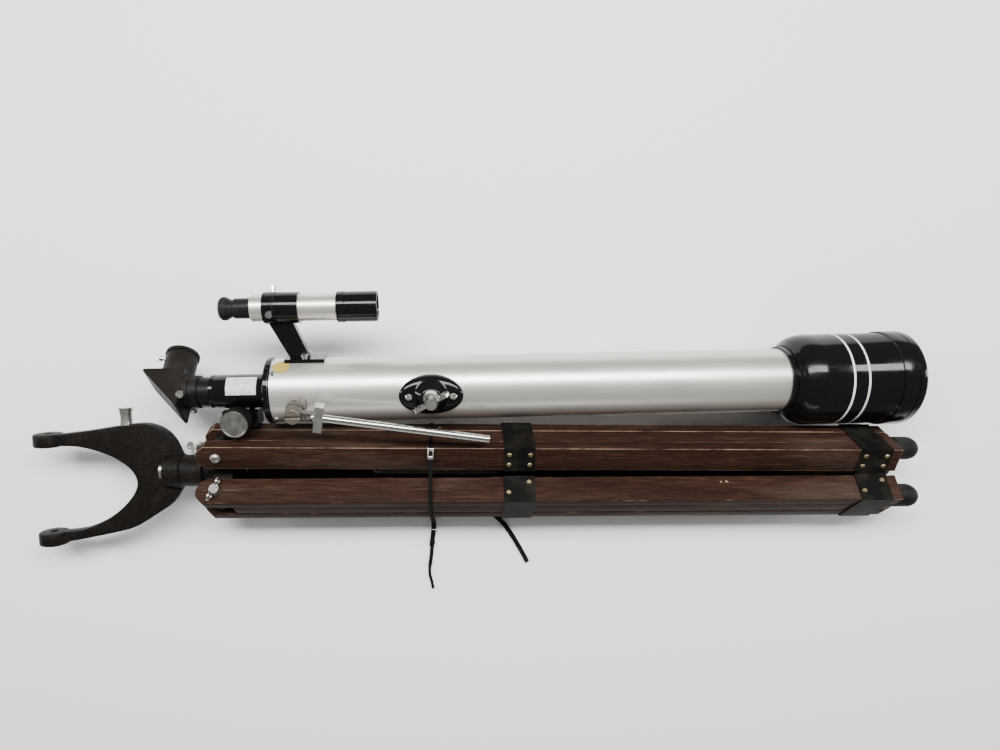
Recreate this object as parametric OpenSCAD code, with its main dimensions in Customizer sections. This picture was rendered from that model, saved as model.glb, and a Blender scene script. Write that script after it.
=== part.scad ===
// Small refractor telescope lying beside its folded wooden tripod.
// Millimetres, +Z up, +X from the tripod head towards the feet and the dew shield.
// The origin is under the middle of the set, on the surface that it lies on.

/* [Tripod legs] */
// Width of a leg across its three strips
leg_w = 43; // [42:1:44]
// Depth of a leg strip
leg_d = 25; // [22:1:25]
// Width of the sliding middle strip
slider_w = 18; // [14:0.5:19]
// Length of the fixed strips beyond the hinge
leg_len = 658; // [640:1:700]
// Distance from the tripod axis to each leg hinge
hinge_r = 30.5; // [30.5:0.5:33]
// Angle by which the folded legs close in towards their feet
taper = 0.3; // [0:0.02:0.3]
// Radius of a rubber foot
foot_r = 11.3; // [9:0.1:12]

/* [Leg bands] */
// Thickness of the steel bands
band_t = 1; // [0.8:0.1:1.2]
// Width of a band along the leg
band_w = 30; // [20:1:34]
// Start of the middle band beyond the hinge
mid_band_x = 276; // [270:1:300]
// Start of the end band beyond the hinge
end_band_x = 618; // [580:1:620]

/* [Tripod head] */
// Radius of the column
column_r = 15.9; // [14:0.1:16]
// Radius of the fork shaft
shaft_r = 9; // [7:0.5:10]
// Thickness of the fork casting
fork_t = 13; // [10:1:16]

/* [Telescope] */
// Outer radius of the main tube
tube_r = 31.3; // [30.5:0.1:31.5]
// Outer radius of the dew shield
shield_r = 45; // [42:0.5:45]
// Outer radius of the rim of the dew shield
rim_r = 46.5; // [45.5:0.5:46.5]
// Length of the dew shield
shield_len = 116; // [100:1:120]
// Distance between the main tube and finder axes
finder_y = 81; // [76:0.5:90]
// Outer radius of the finder tube
finder_r = 12.8; // [11:0.1:12.8]

/* [Diagonal and eyepiece socket] */
// Bore radius of the eyepiece socket, for 24.5 mm eyepieces
socket_r = 12.25; // [12.25:0.05:12.4]
// Turn of the diagonal about the tube axis, from the finder side
diagonal_turn = -51; // [-60:1:0]

/* [Hidden] */
$fn = 64;

// Placement of the two assemblies
origin_x = 22.926;
origin_y = 51.15;
hinge_x = -224.5;
axis_z = band_t + leg_d / 2 + hinge_r;
leg_turn = [-60, 60, 180];
scope_y = 84.3;
scope_roll = 16;
scope_pitch = 1.5;
scope_yaw = 1.2;
scope_z = 58.15;

// Leg details
gap = 0.3;
strip_w = (leg_w - slider_w) / 2 - gap;
bolt_r = 3;
bore_gap = 0.05;
slider_x = 14;
slider_end = leg_len + 1;
stay_x = 270;
stay_z = -16.7;
stay_len = 120;
stay_w = 10;
pin_r = 1.2;

// Turn of the fork about the column, from lying flat
fork_turn = 6;

// Telescope stations along the tube axis
tube_back = -172;
tube_front = 336;
focuser_back = -231.5;
pinion_x = -205;
pinion_y = -24.1;
rack_teeth = 25;
tooth_pitch = PI;
trunnion_x = -18.8;
shield_x = 331;
stud_x = -144;
stud_turn = 9;
stud_top = 59.3;
rod_turn = -9.5;
rod_r = 3.7;
rod_z = 54;
rod_start = 13;
rod_end = 181;
finder_ring_x = -174.5;
finder_ring_len = 33;

// Strap around the folded legs
strap_x = 206;
strap_w = 5;
strap_t = 0.9;
tail_long_route = [
    [-17.5, -47.0, 39.0], [-17.6, -50.5, 31.0], [-17.4, -54.5, 22.0], [-17.2, -59.5, 12.5],
    [-17.4, -66.0, 5.0], [-18.0, -73.0, 2.2], [-18.8, -80.0, 1.6], [-19.3, -87.0, 1.4],
    [-19.8, -94.0, 1.4], [-20.6, -101.0, 1.4], [-21.6, -108.0, 1.4], [-21.8, -115.0, 1.4],
    [-20.6, -121.0, 1.4], [-19.0, -127.0, 1.4], [-18.0, -132.0, 1.4]
];
tail_short_route = [
    [-14.0, -26.5, 5.0], [-8.0, -28.5, 3.2], [-1.0, -31.0, 2.0], [7.0, -34.0, 1.5],
    [16.0, -37.5, 1.4], [25.0, -41.0, 1.4], [34.0, -45.0, 1.4], [43.0, -50.0, 1.4],
    [51.0, -56.0, 1.4], [58.0, -63.0, 1.4], [64.0, -71.0, 1.4], [69.5, -79.5, 1.4],
    [74.5, -88.0, 1.4], [79.0, -96.0, 1.4], [83.0, -103.5, 1.4]
];

// Outline of the fork, as spline points from the base outwards along each side
fork_upper = [[-268, 18], [-275, 32], [-286, 42], [-303, 48], [-325, 46.5], [-360, 41], [-392, 37]];
fork_inner = [
    [-392, 25.5], [-372, 25], [-352, 20.5], [-334, 13], [-319, 1.5], [-313.6, -11],
    [-318, -24], [-332, -39.5], [-350, -51.5], [-370, -59.5], [-392, -62.5]
];
fork_lower = [[-392, -73.5], [-362, -68], [-334, -62], [-316, -56.5], [-297, -45], [-280, -33], [-268, -16]];
lug_x = -403;
lug_upper_y = 31;
lug_lower_y = -69.5;
lug_t = 13;
lug_r = 14;
lug_bore_r = 3.6;

steel = "#2b2b2b";
wood = "#3a1f18";
chrome = "#c8c8c4";
black = "#161616";
silver = "#b9b4ad";

// ---- Places -------------------------------------------------------------

module in_set() translate([-origin_x, -origin_y, 0]) children();

// +X along the folded legs, origin on the tripod axis at the hinges
module in_tripod() in_set() translate([hinge_x, 0, axis_z]) rotate([0, taper, 0]) children();

// +X along the leg, +Z away from the tripod axis, origin on the hinge pin
module in_leg(k)
    in_tripod() rotate([leg_turn[k - 1], 0, 0]) translate([0, 0, hinge_r])
        rotate([0, taper, 0]) children();

// +X towards the lens, +Y towards the finder, +Z along the upper trunnion
module in_scope()
    in_set() translate([0, scope_y, scope_z])
        rotate([scope_roll, scope_pitch, scope_yaw]) children();

module in_finder() in_scope() translate([0, finder_y, 0]) children();

module in_diagonal() in_scope() rotate([diagonal_turn, 0, 0]) children();

// +Z out along the stud, +X along the rod, origin on the tube axis
module in_stud() in_scope() translate([stud_x, 0, 0]) rotate([stud_turn, 0, 0]) children();

module in_rod() in_stud() rotate([0, 0, rod_turn]) translate([0, 0, rod_z]) children();

// ---- Shared shapes ------------------------------------------------------

module along_x() rotate([0, 90, 0]) children();

module along_y() rotate([-90, 0, 0]) children();

// Solid turned about X from [x, radius] points
module turned_x(points) along_x() rotate_extrude($fn = 96) polygon([for (p = points) [p[1], p[0]]]);

module tube_x(x0, x1, outer, inner)
    turned_x([[x0, inner], [x1, inner], [x1, outer], [x0, outer]]);

function oval(a, b, n = 40) = [for (i = [0 : n - 1]) [a * cos(360 * i / n), b * sin(360 * i / n)]];

function catmull(p0, p1, p2, p3, t) =
    0.5 * ((2 * p1) + (p2 - p0) * t + (2 * p0 - 5 * p1 + 4 * p2 - p3) * t * t
        + (3 * p1 - p0 - 3 * p2 + p3) * t * t * t);

function spline(pts, steps) = let (n = len(pts)) concat(
    [for (i = [0 : n - 2]) for (s = [0 : steps - 1])
        catmull(pts[max(i - 1, 0)], pts[i], pts[i + 1], pts[min(i + 2, n - 1)], s / steps)],
    [pts[n - 1]]);

// Head of a round screw standing on z = 0, with its slot
module screw_head(r, h) difference() {
    union() {
        cylinder(r = r, h = h * 0.5);
        translate([0, 0, h * 0.5]) cylinder(r1 = r, r2 = r * 0.7, h = h * 0.5);
    }
    translate([-r, -r * 0.14, h * 0.62]) cube([2 * r, r * 0.28, h]);
}

// Two looped wings standing on the plane z = 0
module wings(reach, height, thick) for (side = [-1, 1])
    translate([side * reach * 0.62, 0, height / 2]) rotate([90, 0, 0])
        linear_extrude(thick, center = true) difference() {
            polygon(oval(reach * 0.38, height / 2));
            polygon(oval(reach * 0.2, height / 4));
        }

// ---- Tripod legs --------------------------------------------------------

module rails(k) in_leg(k) color(wood) for (side = [-1, 1]) difference() {
    translate([0, side * (leg_w - strip_w) / 2 + strip_w / 2, 0]) rotate([90, 0, 0])
        linear_extrude(strip_w) polygon([
            [-11, leg_d / 2], [-17, leg_d / 2 - 5], [-19, 4.5], [-19.5, 0], [-19, -4], [-17.2, -7.6],
            [-14, -10.5], [-9.5, -leg_d / 2], [leg_len, -leg_d / 2], [leg_len, leg_d / 2]]);
    translate([0, -leg_w, 0]) along_y() cylinder(r = bolt_r + bore_gap, h = 2 * leg_w);
}

module slider(k) in_leg(k) color(wood)
    translate([slider_x, -slider_w / 2, -leg_d / 2 + gap])
        cube([slider_end - slider_x, slider_w, leg_d - 2 * gap]);

module foot(k) in_leg(k) color(black) turned_x(concat(
    [[slider_end, 0], [slider_end, foot_r - 2], [slider_end + 3, foot_r]],
    [for (a = [0 : 10 : 90]) [slider_end + 17 + foot_r * sin(a), foot_r * cos(a)]]));

module band(x0) difference() {
    translate([x0, -leg_w / 2 - band_t, -leg_d / 2 - band_t])
        cube([band_w, leg_w + 2 * band_t, leg_d + 2 * band_t]);
    translate([x0 - 1, -leg_w / 2, -leg_d / 2]) cube([band_w + 2, leg_w, leg_d]);
}

// The middle band carries two ears and the pin of the stay
module bands(k) in_leg(k) color(steel) {
    union() {
        band(mid_band_x);
        for (side = [-1, 1])
            translate([stay_x - 3, side * (stay_w / 2 + 1.3) - 1, stay_z - 2.6])
                cube([mid_band_x - stay_x + 11, 2, -leg_d / 2 - band_t / 2 - stay_z + 2.6]);
        translate([stay_x, -stay_w / 2 - 2, stay_z]) along_y() cylinder(r = pin_r, h = stay_w + 4);
    }
    band(end_band_x);
}

module band_screws(k) in_leg(k) color(chrome) for (x0 = [mid_band_x, end_band_x]) {
    for (x = [5, band_w - 5], z = [-5.5, 6])
        translate([x0 + x, -leg_w / 2 - band_t, z]) rotate([90, 0, 0]) screw_head(2.4, 1.5);
    for (p = [[4.5, 3.5], [band_w - 5.5, -7]])
        translate([x0 + p[0], leg_w / 2 + band_t, p[1]]) rotate([-90, 0, 0]) screw_head(2.4, 1.5);
}

module hinge_bolt(k) in_leg(k) color(chrome) {
    translate([0, -leg_w / 2, 0]) along_y() cylinder(r = bolt_r, h = leg_w + 9);
    translate([0, -leg_w / 2, 0]) rotate([90, 0, 0])
        rotate_extrude() polygon([[0, 0], [5.6, 0], [5.2, 1.6], [3.6, 3], [0, 3.6]]);
}

module wing_nut(k) in_leg(k) color(chrome) translate([0, leg_w / 2 + 0.1, 0]) rotate([-90, 0, 0])
    rotate([0, 0, 70]) difference() {
        union() {
            cylinder(r1 = 6.2, r2 = 4.6, h = 7);
            translate([0, 0, 1.5]) wings(12.6, 9, 1.8);
        }
        translate([0, 0, -1]) cylinder(r = bolt_r + bore_gap, h = 12);
    }

module stay(k) in_leg(k) color(steel) difference() {
    union() {
        translate([stay_x - stay_len, -stay_w / 2, stay_z - 1]) cube([stay_len, stay_w, 2]);
        translate([stay_x - stay_len, 0, stay_z - 1]) cylinder(r = stay_w / 2, h = 2);
        translate([stay_x, -stay_w / 2, stay_z]) along_y() cylinder(r = 2.4, h = stay_w);
    }
    translate([stay_x, -stay_w, stay_z]) along_y() cylinder(r = pin_r + bore_gap, h = 2 * stay_w);
    translate([stay_x - stay_len, 0, stay_z - 3]) cylinder(r = 2, h = 6);
}

// ---- Tripod head and fork -----------------------------------------------

column_x0 = -43;
column_x1 = -21.5;
collar_x0 = -60;
clamp_x = -32;

module head_casting() color(steel) difference() {
    union() {
        in_tripod() tube_x(column_x0, column_x1, column_r, 0);
        in_tripod() tube_x(column_x1, 9, 11.4, 0);
        for (k = [1, 2, 3]) in_leg(k) {
            translate([-9, -slider_w / 2, -hinge_r + 6]) cube([18, slider_w, hinge_r - 6]);
            translate([0, -slider_w / 2, 0]) along_y() cylinder(r = 9, h = slider_w);
        }
    }
    in_tripod() tube_x(column_x0 - 1, column_x1 - 1, shaft_r + bore_gap, 0);
    in_tripod() translate([clamp_x, 0, 0]) along_y() cylinder(r = 2.5 + bore_gap, h = 20);
    for (k = [1, 2, 3]) in_leg(k)
        translate([0, -leg_w, 0]) along_y() cylinder(r = bolt_r + bore_gap, h = 2 * leg_w);
}

// Wing screw in the side of the column, which holds the fork shaft still
module clamp_screw() color(chrome) in_tripod() translate([clamp_x, 0, 0]) along_y() {
    translate([0, 0, column_r - 1.9]) cylinder(r = 2.5, h = 11);
    translate([0, 0, column_r + 1.5]) cylinder(r1 = 4.2, r2 = 3.6, h = 9);
    translate([0, 0, column_r + 5]) wings(8.6, 8, 1.8);
}

// The fork is flat and turns about the tripod axis
module in_fork() in_set() translate([0, 0, axis_z]) rotate([fork_turn, 0, 0]) children();

module fork_lug(y) difference() {
    translate([lug_x, y - lug_t / 2, 0]) along_y() cylinder(r = lug_r, h = lug_t);
    translate([lug_x, y - lug_t, 0]) along_y() cylinder(r = lug_bore_r, h = 2 * lug_t);
}

module yoke_fork() color(steel) union() {
    in_fork() difference() {
        translate([0, 0, -fork_t / 2]) linear_extrude(fork_t)
            polygon(concat(spline(fork_upper, 4), spline(fork_inner, 4), spline(fork_lower, 4)));
        translate([hinge_x + collar_x0, 0, 0]) along_x() cylinder(r = 17.6, h = 60);
    }
    in_fork() for (y = [lug_upper_y, lug_lower_y]) fork_lug(y);
    in_tripod() tube_x(collar_x0 - 6, column_x1 - 2, shaft_r, 0);
}

module azimuth_collar() color(steel) in_tripod() difference() {
    turned_x([[collar_x0, 0], [collar_x0, 16.5], [collar_x0 + 1, 17.5], [column_x0 - 1.4, 17.5],
        [column_x0 - 0.4, 16.5], [column_x0 - 0.4, 0]]);
    tube_x(collar_x0 - 1, column_x0 + 1, shaft_r, 0);
}

module rod_post() color(chrome) in_fork() translate([-324, 46.4, 0]) along_y() rotate_extrude()
    polygon(concat([[0, 0]], [for (i = [0 : 8]) [5.8 + 1.4 * pow((i - 3) / 5, 2), i * 2.2]],
        [[0, 17.6]]));

// ---- Telescope ----------------------------------------------------------

module main_tube() color(silver) in_scope() tube_x(tube_back, tube_front, tube_r, tube_r - 1);

module rear_cover() color(black) in_scope() turned_x([
    [tube_back - 5, 16.6], [tube_back - 5, 30.6], [tube_back - 3.6, 32.2], [tube_back, 32.2],
    [tube_back, tube_r - 1.1], [tube_back + 12, tube_r - 1.1], [tube_back + 12, 28],
    [tube_back - 1, 28], [tube_back - 1, 16.6]]);

module tube_screws() color(chrome) in_scope() {
    for (a = [45, 135, 225, 315]) rotate([a, 0, 0])
        translate([tube_back + 5, 0, tube_r]) screw_head(2.6, 1.8);
    for (side = [0, 180], x = [-21, 21]) rotate([side, 0, 0])
        translate([trunnion_x + x, 0, tube_r + 3.3]) screw_head(3.4, 2);
}

module focuser_body() color(black) in_scope() difference() {
    union() {
        tube_x(focuser_back, tube_back - 0.9, 16.5, 0);
        tube_x(tube_back - 0.9, tube_back + 10, 20, 0);
        translate([pinion_x - 17, pinion_y - 10, -11]) cube([34, 16, 22]);
    }
    tube_x(focuser_back - 1, tube_back + 11, 14.3, 0);
    translate([focuser_back - 1, -17.6, -2.4]) cube([120, 6, 4.8]);
    translate([pinion_x, pinion_y, -6]) cylinder(r = 9.6, h = 12);
    translate([pinion_x, pinion_y, -20]) cylinder(r = 2.5 + bore_gap, h = 40);
}

module drawtube() color(black) in_scope() union() {
    tube_x(-251.5, -243.5, 16.2, socket_r);
    tube_x(-243.6, -140, 14.2, socket_r);
}

module focus_rack() color(chrome) in_scope() {
    translate([-241, -14.6, -2]) cube([82, 1, 4]);
    for (i = [0 : rack_teeth - 1])
        translate([pinion_x + (i - 11.5) * tooth_pitch - 0.55, -16.2, -2]) cube([1.1, 1.8, 4]);
}

// Sixteen teeth; a gap of the rack faces a tooth of the pinion at rest
module focus_pinion() color(chrome) in_scope() translate([pinion_x, pinion_y, 0]) {
    translate([0, 0, -29]) cylinder(r = 2.5, h = 58);
    translate([0, 0, -4]) linear_extrude(8) union() {
        circle(r = 6.8);
        for (i = [0 : 15]) rotate([0, 0, 360 * i / 16 + 90])
            polygon([[6.4, -0.75], [8.9, -0.3], [8.9, 0.3], [6.4, 0.75]]);
    }
}

module focus_knobs() color(black) in_scope() translate([pinion_x, pinion_y, 0])
    for (side = [0, 180]) rotate([side, 0, 0]) translate([0, 0, 13.5]) difference() {
        rotate_extrude() polygon([[0, 0], [12, 0], [14, 2], [14, 17.6], [12.8, 19], [0, 19]]);
        translate([0, 0, -1]) cylinder(r = 2.5, h = 16.5);
    }

prism_back = -297;
prism_front = -257;
prism_top = 17;
holder_x = -270;

module diagonal_housing() color(black) in_diagonal() difference() {
    union() {
        translate([0, 0, -17]) linear_extrude(34) polygon([
            [prism_back, prism_top], [prism_front, prism_top],
            [prism_front, prism_top - 42], [prism_front - 2.5, prism_top - 42],
            [prism_back, prism_top - 2.5]]);
        tube_x(prism_front - 1, -251.8, 17, 0);
        translate([holder_x, prism_top - 1, 0]) along_y() cylinder(r = 15.4, h = 30);
        translate([holder_x, prism_top + 25.5, 0]) along_y() cylinder(r = 16.5, h = 3.5);
    }
    tube_x(-270, -250, socket_r, 0);
    translate([holder_x, prism_top, 0]) along_y() cylinder(r = socket_r, h = 40);
    translate([0, 0, -14]) linear_extrude(28) polygon([
        [prism_back + 7, prism_top - 1.4], [prism_front - 2, prism_top - 1.4],
        [prism_front - 2, prism_top - 37]]);
}

module diagonal_prism() color("#a9c4cc") in_diagonal() translate([0, 0, -12]) linear_extrude(24)
    polygon([[prism_front - 4, prism_top - 3], [prism_front - 4, prism_top - 29],
        [prism_front - 30, prism_top - 3]]);

module diagonal_screws() color(chrome) in_diagonal() {
    for (a = [40, 160]) rotate([a, 0, 0]) translate([-255.5, 0, 16.8]) {
        cylinder(r = 2, h = 4);
        translate([0, 0, 3]) cylinder(r = 3.6, h = 4);
    }
    translate([holder_x, 35, 0]) rotate([0, -60, 0]) translate([0, 0, 15.2]) {
        cylinder(r = 1.6, h = 3);
        translate([0, 0, 2]) cylinder(r = 2.8, h = 3.5);
    }
}

module lens_cell() color(black) in_scope() turned_x([
    [tube_front - 10, tube_r + 0.05], [tube_front, tube_r + 0.05], [tube_front, 28],
    [tube_front + 2, 28], [tube_front + 2, 30.1], [tube_front + 12, 30.1],
    [tube_front + 12, 33.4], [tube_front - 10, 33.4]]);

module objective_lens() color("#9fb8d8") in_scope() turned_x(concat(
    [[tube_front + 2, 0], [tube_front + 2, 30], [tube_front + 7, 30]],
    [for (r = [25 : -5 : 0]) [tube_front + 7 + 2.6 * (1 - r * r / 900), r]]));

module dew_shield() color(black) in_scope() turned_x([
    [shield_x, 33.5], [shield_x, 35], [shield_x + 2, 36.5], [shield_x + 6, 40.5],
    [shield_x + 10, 42.8], [shield_x + 15, 44.4], [shield_x + 20, shield_r],
    [shield_x + shield_len - 22, shield_r], [shield_x + shield_len - 20, rim_r],
    [shield_x + shield_len - 2, rim_r], [shield_x + shield_len, rim_r - 1.5],
    [shield_x + shield_len, shield_r - 2], [shield_x + 22, shield_r - 2],
    [shield_x + 16, 41.6], [shield_x + 17, 33.5]]);

// Oval saddles on opposite sides of the tube, each with a round boss
module trunnion_plates() color(black) in_scope() for (side = [0, 180])
    rotate([side, 0, 0]) difference() {
        union() {
            intersection() {
                translate([trunnion_x, 0, 0]) linear_extrude(60) polygon(oval(30.5, 19.5));
                tube_x(trunnion_x - 40, trunnion_x + 40, tube_r + 3.4, tube_r + 0.02);
            }
            translate([trunnion_x, 0, tube_r + 1]) cylinder(r1 = 15, r2 = 10, h = 8.5);
        }
        translate([trunnion_x, 0, tube_r + 2]) cylinder(r = 3.5 + bore_gap, h = 20);
    }

module wing_bolt(turn) color(chrome) translate([trunnion_x, 0, tube_r + 3]) {
    cylinder(r = 3.5, h = 8);
    translate([0, 0, 6.6]) cylinder(r1 = 8, r2 = 7, h = 3);
    translate([0, 0, 9.6]) cylinder(r1 = 6.2, r2 = 5.4, h = 15.4);
    rotate([0, 0, turn]) translate([0, 0, 11]) wings(18.5, 12, 3);
}

module upper_wing_bolt() in_scope() wing_bolt(28);

module lower_wing_bolt() in_scope() rotate([180, 0, 0]) wing_bolt(0);

// ---- Finder -------------------------------------------------------------

module finder_bracket() color(black) union() {
    in_finder() tube_x(finder_ring_x, finder_ring_x + finder_ring_len, 14.8, finder_r + 0.2);
    in_scope() difference() {
        union() {
            translate([-158, tube_r - 3.5, -11]) cube([38, 5.2, 22]);
            translate([0, 0, -3.8]) linear_extrude(7.6) polygon([
                [-171, finder_y - 14], [-148, finder_y - 14], [-134, tube_r + 1], [-153, tube_r + 1]]);
        }
        tube_x(-180, -110, tube_r + 0.02, 0);
    }
}

module finder_screws() color(chrome) {
    in_finder() for (a = [-10, 110, 230]) rotate([-a, 0, 0]) translate([finder_ring_x + 8, 0, 14.7]) {
        cylinder(r = 1.6, h = 3);
        translate([0, 0, 2.4]) cylinder(r = 3.2, h = 3.4);
    }
    in_scope() for (z = [-7.4, 7.4]) translate([-139, tube_r + 1.2, z]) along_y() {
        cylinder(r = 2.4, h = 2.6);
        translate([0, 0, 2.4]) cylinder(r = 3.3, h = 2.6);
    }
}

module finder_tube() color(silver) in_finder() tube_x(-186.3, -100, finder_r, finder_r - 1);

module finder_eyepiece() color(black) in_finder() turned_x([
    [-216, 4], [-216, 9.2], [-214, 10.8], [-209.5, 10.8], [-205.5, 8.6], [-203.5, 8.6],
    [-201.5, 9.7], [-187.5, 9.7], [-187.5, 11], [-186.5, 11], [-186.5, 11.7], [-176.5, 11.7],
    [-176.5, 8], [-212.5, 8], [-212.5, 4]]);

module finder_hood() color(black) in_finder() turned_x([
    [-106, finder_r + 0.05], [-106, 14.2], [-105, 14.8], [-98, 14.8], [-97, 14.4], [-69, 14.4],
    [-67.5, 13.9], [-67.5, 12.4], [-99.9, 12.4], [-99.9, finder_r + 0.05]]);

module finder_lens() color("#9fb8d8") in_finder() turned_x([
    [-99.8, 0], [-99.8, 12.3], [-97, 12.3], [-96, 8], [-95.6, 0]]);

// ---- Slow-motion rod ----------------------------------------------------

module rod_stud() color(chrome) {
    in_stud() difference() {
        union() {
            translate([0, 0, tube_r - 0.5]) cylinder(r = 8.6, h = 15);
            translate([0, 0, tube_r + 14]) cylinder(r = 7.5, h = stud_top - tube_r - 14);
        }
        translate([-10, -0.8, stud_top - 1.4]) cube([20, 1.6, 3]);
        rotate([-stud_turn, 0, 0]) tube_x(-20, 20, tube_r, 0);
    }
    in_rod() for (side = [-1, 1]) difference() {
        translate([6, side * 3.4 - 1, -3]) cube([10, 2, 6]);
        translate([rod_start, side * 3.4 - 2, 0]) along_y() cylinder(r = 1.25, h = 4);
    }
    in_rod() translate([rod_start, -4.4, 0]) along_y() cylinder(r = 1.2, h = 8.8);
}

module slow_motion_rod() color(chrome) in_rod() difference() {
    union() {
        translate([rod_start, -2, 0]) along_y() cylinder(r = 2.8, h = 4);
        tube_x(rod_start, rod_start + 5, 2, 0);
        tube_x(rod_start + 5, rod_end, rod_r, 0);
    }
    translate([rod_start, -6, 0]) along_y() cylinder(r = 1.26, h = 12);
}

module rod_clamp() color(chrome) in_rod() difference() {
    translate([19, -13, -5]) cube([8, 26, 10]);
    tube_x(15, 35, rod_r + bore_gap, 0);
}

// ---- Strap --------------------------------------------------------------

// Corners of the folded legs at the strap, and the same outline moved out by t
function leg_corner(k, side, t) = let (
    a = leg_turn[k - 1],
    r = hinge_r + leg_d / 2 - 2 * strap_x * sin(taper) / 2 + t,
    w = side * (leg_w / 2 + t * 0.6)
) [-r * sin(a) + w * cos(a), r * cos(a) + w * sin(a)];

function strap_outline(t) = [
    leg_corner(1, 1, t), leg_corner(1, -1, t), leg_corner(2, 1, t),
    leg_corner(2, -1, t), leg_corner(3, 1, t), leg_corner(3, -1, t)];

module in_strap() in_set() translate([hinge_x + strap_x, 0, axis_z - strap_x * sin(taper)])
    rotate([90, 0, 90]) children();

module strap_loop() color(black) in_strap() translate([0, 0, -strap_w / 2])
    linear_extrude(strap_w) difference() {
        polygon(strap_outline(0.05 + strap_t));
        polygon(strap_outline(0.05));
    }

module strap_buckle() color(chrome) in_strap() translate([20.6, leg_corner(1, -1, 0.05 + strap_t)[1] + 0.85, 0]) difference() {
    cube([12, 1.6, 8], center = true);
    cube([6, 4, 5.2], center = true);
}

// Flat strap with rounded edges swept along a route
function unit(v) = v / norm(v);
function flat_ring(p, d, w, t) = let (
    side = unit(cross(d, [0, 0, 1]) + [0.0001, 0, 0]),
    up = cross(side, d)
) [for (i = [0 : 7]) p + side * w / 2 * cos(45 * i + 22.5) * 1.08
    + up * t / 2 * sin(45 * i + 22.5) * 1.08];

module swept_strap(route, w, t) {
    n = len(route);
    rings = [for (i = [0 : n - 1])
        flat_ring(route[i], unit(route[min(i + 1, n - 1)] - route[max(i - 1, 0)]), w, t)];
    polyhedron(
        points = [for (r = rings) for (p = r) p],
        faces = concat(
            [[for (i = [7 : -1 : 0]) i]],
            [for (i = [0 : n - 2]) for (j = [0 : 7])
                [i * 8 + j, i * 8 + (j + 1) % 8, (i + 1) * 8 + (j + 1) % 8, (i + 1) * 8 + j]],
            [[for (i = [0 : 7]) (n - 1) * 8 + i]]));
}

module strap_tail_long() color(black) in_set() swept_strap(tail_long_route, 5, 2);

module strap_tail_short() color(black) in_set() swept_strap(tail_short_route, 5, 2);

// ---- Nodes --------------------------------------------------------------

rails(1);  // leg_1_rails
rails(2);  // leg_2_rails
rails(3);  // leg_3_rails
slider(1);  // leg_1_slider
slider(2);  // leg_2_slider
slider(3);  // leg_3_slider
foot(1);  // leg_1_foot
foot(2);  // leg_2_foot
foot(3);  // leg_3_foot
bands(1);  // leg_1_bands
bands(2);  // leg_2_bands
bands(3);  // leg_3_bands
band_screws(1);  // leg_1_band_screws
band_screws(2);  // leg_2_band_screws
band_screws(3);  // leg_3_band_screws
hinge_bolt(1);  // leg_1_hinge_bolt
hinge_bolt(2);  // leg_2_hinge_bolt
hinge_bolt(3);  // leg_3_hinge_bolt
wing_nut(1);  // leg_1_wing_nut
wing_nut(2);  // leg_2_wing_nut
wing_nut(3);  // leg_3_wing_nut
stay(1);  // leg_1_stay
stay(2);  // leg_2_stay
stay(3);  // leg_3_stay
head_casting();
clamp_screw();
yoke_fork();
azimuth_collar();
rod_post();
main_tube();
rear_cover();
tube_screws();
focuser_body();
drawtube();
focus_rack();
focus_pinion();
focus_knobs();
diagonal_housing();
diagonal_prism();
diagonal_screws();
lens_cell();
objective_lens();
dew_shield();
trunnion_plates();
upper_wing_bolt();
lower_wing_bolt();
finder_bracket();
finder_screws();
finder_tube();
finder_eyepiece();
finder_hood();
finder_lens();
rod_stud();
slow_motion_rod();
rod_clamp();
strap_loop();
strap_buckle();
strap_tail_long();
strap_tail_short();
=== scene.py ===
import math

import bmesh
import bpy
from mathutils import Matrix, Vector


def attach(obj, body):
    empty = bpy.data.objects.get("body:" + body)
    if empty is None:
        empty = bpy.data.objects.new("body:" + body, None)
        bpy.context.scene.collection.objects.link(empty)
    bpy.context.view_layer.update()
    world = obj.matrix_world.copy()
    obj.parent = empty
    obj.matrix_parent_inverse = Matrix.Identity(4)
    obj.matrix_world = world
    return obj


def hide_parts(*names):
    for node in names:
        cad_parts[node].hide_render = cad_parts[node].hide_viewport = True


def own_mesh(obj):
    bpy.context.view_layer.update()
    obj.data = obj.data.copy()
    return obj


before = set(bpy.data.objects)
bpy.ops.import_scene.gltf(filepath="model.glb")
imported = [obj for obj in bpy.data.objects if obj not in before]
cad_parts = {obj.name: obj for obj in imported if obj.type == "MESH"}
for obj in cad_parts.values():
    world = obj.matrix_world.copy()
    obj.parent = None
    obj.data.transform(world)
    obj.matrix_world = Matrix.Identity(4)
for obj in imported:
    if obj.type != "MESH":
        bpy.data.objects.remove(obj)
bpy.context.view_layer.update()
MM = 0.001

# Sizes repeated from the CAD source, in millimetres and degrees
ORIGIN = Vector((22.926, 51.15, 0.0))
HINGE_X, HINGE_R, TAPER = -224.5, 30.5, 0.3
LEG_W, LEG_D, SLIDER_W, LEG_LEN, BAND_T = 43.0, 25.0, 18.0, 658.0, 1.0
AXIS_Z = BAND_T + LEG_D / 2 + HINGE_R
LEG_TURN = {1: -60, 2: 60, 3: 180}
CLAMP_X, FORK_TURN = -32, 6
SCOPE_Y, SCOPE_Z = 84.3, 58.15
SCOPE_ROLL, SCOPE_PITCH, SCOPE_YAW = 16, 1.5, 1.2
TUBE_R, TUBE_INNER_R, TUBE_BACK, TUBE_FRONT = 31.3, 30.3, -172.0, 336.0
SHIELD_R = 45.0
FINDER_Y = 81.0
PINION_X, PINION_Y = -205.0, -24.1
SADDLE_X, SADDLE_HALF_LENGTH, SADDLE_HALF_WIDTH = -18.8, 30.5, 19.5
STUD_X, STUD_TURN = -144, 9


def shift(x, y, z):
    return Matrix.Translation(Vector((x, y, z)) * MM)


def turn(axis, degrees):
    return Matrix.Rotation(math.radians(degrees), 4, axis)


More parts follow.
